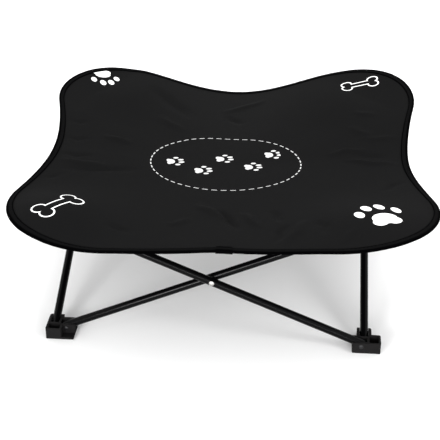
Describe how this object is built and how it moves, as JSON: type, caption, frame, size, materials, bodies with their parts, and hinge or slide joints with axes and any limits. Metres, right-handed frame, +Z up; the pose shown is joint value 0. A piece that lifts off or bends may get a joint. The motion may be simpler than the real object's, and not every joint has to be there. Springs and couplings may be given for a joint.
{
  "type": "folding raised pet cot",
  "caption": "Raised pet cot: a lobed fabric bed with bound edges, stretched over a folding frame of crossed tubes riveted to plastic feet and hubs.",
  "frame": {"origin": "on the floor under the middle of the whole cot", "axes": "+Z up, -Y towards the front, +X to the right seen from the front"},
  "size_m": [0.7243, 0.7463, 0.2767],
  "materials": {
    "black_plastic": "moulded matte",
    "black_paint": "satin black paint",
    "black_rivet": "blackened",
    "bright_rivet": "bright",
    "sheet_cloth": "plain woven, printed in white",
    "binding_tape": "ribbed tape"
  },
  "bodies": {
    "foot_front_right": {"foot_front_right": "black_plastic", "foot_rivets_front_right": "black_rivet"},
    "foot_rear_right": {"foot_rear_right": "black_plastic", "foot_rivets_rear_right": "black_rivet"},
    "foot_rear_left": {"foot_rear_left": "black_plastic", "foot_rivets_rear_left": "black_rivet"},
    "foot_front_left": {"foot_front_left": "black_plastic", "foot_rivets_front_left": "black_rivet"},
    "bar_front_outer": {"bar_front_outer": "black_paint", "cross_rivet_front": "bright_rivet", "cross_washer_front": "black_plastic"},
    "bar_front_inner": {"bar_front_inner": "black_paint"},
    "bar_right_outer": {"bar_right_outer": "black_paint", "cross_rivet_right": "bright_rivet", "cross_washer_right": "black_plastic"},
    "bar_right_inner": {"bar_right_inner": "black_paint"},
    "bar_rear_outer": {"bar_rear_outer": "black_paint", "cross_rivet_rear": "bright_rivet", "cross_washer_rear": "black_plastic"},
    "bar_rear_inner": {"bar_rear_inner": "black_paint"},
    "bar_left_outer": {"bar_left_outer": "black_paint", "cross_rivet_left": "bright_rivet", "cross_washer_left": "black_plastic"},
    "bar_left_inner": {"bar_left_inner": "black_paint"},
    "hub_front_right": {"hub_front_right": "black_plastic", "hub_rivets_front_right": "black_rivet", "corner_pocket_front_right": "sheet_cloth"},
    "hub_rear_right": {"hub_rear_right": "black_plastic", "hub_rivets_rear_right": "black_rivet", "corner_pocket_rear_right": "sheet_cloth"},
    "hub_rear_left": {"hub_rear_left": "black_plastic", "hub_rivets_rear_left": "black_rivet", "corner_pocket_rear_left": "sheet_cloth"},
    "hub_front_left": {"hub_front_left": "black_plastic", "hub_rivets_front_left": "black_rivet", "corner_pocket_front_left": "sheet_cloth", "seat_sheet": "sheet_cloth", "edge_binding": "binding_tape", "binding_join": "binding_tape"}
  },
  "joints": [
    {"name": "frame_fold", "type": "hinge", "parent": "foot_front_right", "child": "bar_front_outer", "pos_m": [0.242, -0.271, 0.0136], "axis": [0, 1, 0], "range_deg": [0, 60], "deforming": ["seat_sheet", "edge_binding", "binding_join"]},
    {"name": "front_cross", "type": "hinge", "parent": "bar_front_outer", "child": "bar_front_inner", "pos_m": [-0.013, -0.26325, 0.12285], "axis": [0, 1, 0], "range_deg": [-120, 0]},
    {"name": "front_left_foot_level", "type": "hinge", "parent": "bar_front_inner", "child": "foot_front_left", "pos_m": [-0.268, -0.2555, 0.0136], "axis": [0, 1, 0], "range_deg": [0, 60]},
    {"name": "left_outer_lift", "type": "hinge", "parent": "foot_front_left", "child": "bar_left_outer", "pos_m": [-0.289, -0.25, 0.0136], "axis": [1, 0, 0], "range_deg": [0, 60]},
    {"name": "left_cross", "type": "hinge", "parent": "bar_left_outer", "child": "bar_left_inner", "pos_m": [-0.28125, 0.005, 0.12285], "axis": [1, 0, 0], "range_deg": [-120, 0]},
    {"name": "rear_left_foot_level", "type": "hinge", "parent": "bar_left_inner", "child": "foot_rear_left", "pos_m": [-0.2735, 0.26, 0.0136], "axis": [1, 0, 0], "range_deg": [0, 60]},
    {"name": "right_inner_lift", "type": "hinge", "parent": "foot_front_right", "child": "bar_right_inner", "pos_m": [0.2475, -0.25, 0.0136], "axis": [-1, 0, 0], "range_deg": [-60, 0]},
    {"name": "right_cross", "type": "hinge", "parent": "bar_right_inner", "child": "bar_right_outer", "pos_m": [0.25525, 0.005, 0.12285], "axis": [-1, 0, 0], "range_deg": [0, 120]},
    {"name": "rear_right_foot_level", "type": "hinge", "parent": "bar_right_outer", "child": "foot_rear_right", "pos_m": [0.263, 0.26, 0.0136], "axis": [-1, 0, 0], "range_deg": [-60, 0]},
    {"name": "rear_inner_lift", "type": "hinge", "parent": "foot_rear_right", "child": "bar_rear_inner", "pos_m": [0.242, 0.2655, 0.0136], "axis": [0, -1, 0], "range_deg": [-60, 0]},
    {"name": "rear_cross", "type": "hinge", "parent": "bar_rear_inner", "child": "bar_rear_outer", "pos_m": [-0.013, 0.27325, 0.12285], "axis": [0, -1, 0], "range_deg": [0, 120]},
    {"name": "front_left_hub_level", "type": "hinge", "parent": "bar_front_outer", "child": "hub_front_left", "pos_m": [-0.268, -0.271, 0.2321], "axis": [0, 1, 0], "range_deg": [-60, 0]},
    {"name": "front_right_hub_level", "type": "hinge", "parent": "bar_front_inner", "child": "hub_front_right", "pos_m": [0.242, -0.2555, 0.2321], "axis": [0, 1, 0], "range_deg": [0, 60]},
    {"name": "rear_right_hub_level", "type": "hinge", "parent": "bar_right_inner", "child": "hub_rear_right", "pos_m": [0.2475, 0.26, 0.2321], "axis": [-1, 0, 0], "range_deg": [0, 60]},
    {"name": "rear_left_hub_level", "type": "hinge", "parent": "bar_left_outer", "child": "hub_rear_left", "pos_m": [-0.289, 0.26, 0.2321], "axis": [1, 0, 0], "range_deg": [-60, 0]}
  ],
  "couplings": [
    {"joint": "front_cross", "follows": "frame_fold", "ratio": -2},
    {"joint": "front_left_foot_level", "follows": "frame_fold", "ratio": 1},
    {"joint": "left_outer_lift", "follows": "frame_fold", "ratio": 1},
    {"joint": "left_cross", "follows": "frame_fold", "ratio": -2},
    {"joint": "rear_left_foot_level", "follows": "frame_fold", "ratio": 1},
    {"joint": "right_inner_lift", "follows": "frame_fold", "ratio": -1},
    {"joint": "right_cross", "follows": "frame_fold", "ratio": 2},
    {"joint": "rear_right_foot_level", "follows": "frame_fold", "ratio": -1},
    {"joint": "rear_inner_lift", "follows": "frame_fold", "ratio": -1},
    {"joint": "rear_cross", "follows": "frame_fold", "ratio": 2},
    {"joint": "front_left_hub_level", "follows": "frame_fold", "ratio": -1},
    {"joint": "front_right_hub_level", "follows": "frame_fold", "ratio": 1},
    {"joint": "rear_right_hub_level", "follows": "frame_fold", "ratio": 1},
    {"joint": "rear_left_hub_level", "follows": "frame_fold", "ratio": -1}
  ]
}
